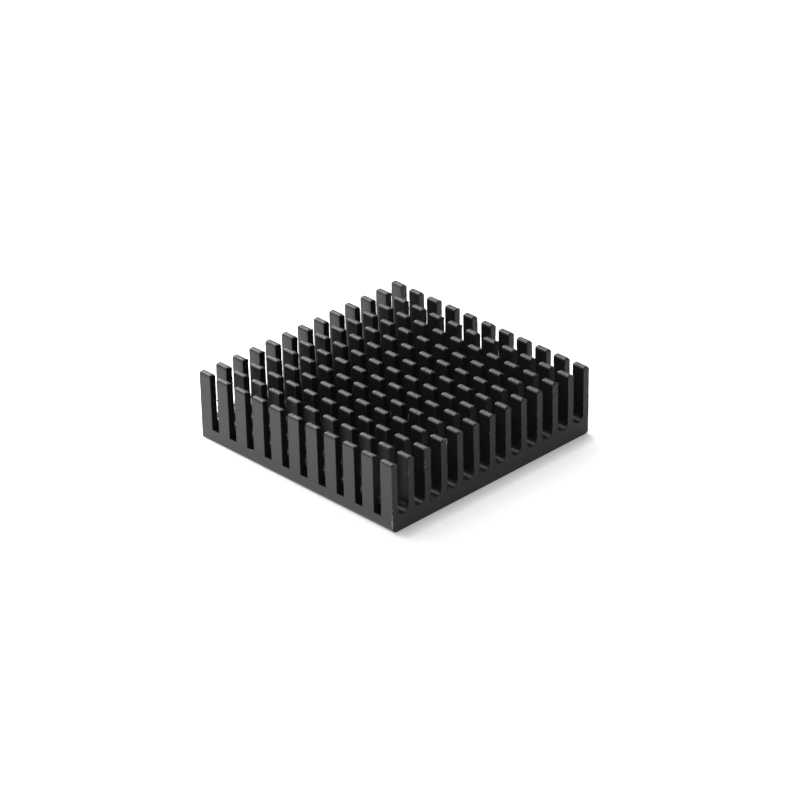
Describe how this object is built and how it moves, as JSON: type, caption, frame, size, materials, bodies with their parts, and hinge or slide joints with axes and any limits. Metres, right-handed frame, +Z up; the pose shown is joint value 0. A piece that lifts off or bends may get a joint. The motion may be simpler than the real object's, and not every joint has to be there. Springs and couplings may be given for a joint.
{
  "type": "pin fin heat sink",
  "caption": "Square black heat sink with a thin flat base and rows of upright rectangular pins, made from a finned extrusion sawn across.",
  "frame": {"origin": "centre of the flat underside, on the surface the part rests on", "axes": "+X along the extrusion and the channels, +Y across the fins, +Z up from the underside to the pin tips"},
  "size_m": [0.04, 0.04, 0.011],
  "materials": {
    "black_anodised": "satin black anodised, with fine extrusion lines and bare metal on a few sawn edges"
  },
  "bodies": {
    "root": {"heat_sink": "black_anodised"}
  },
  "joints": []
}
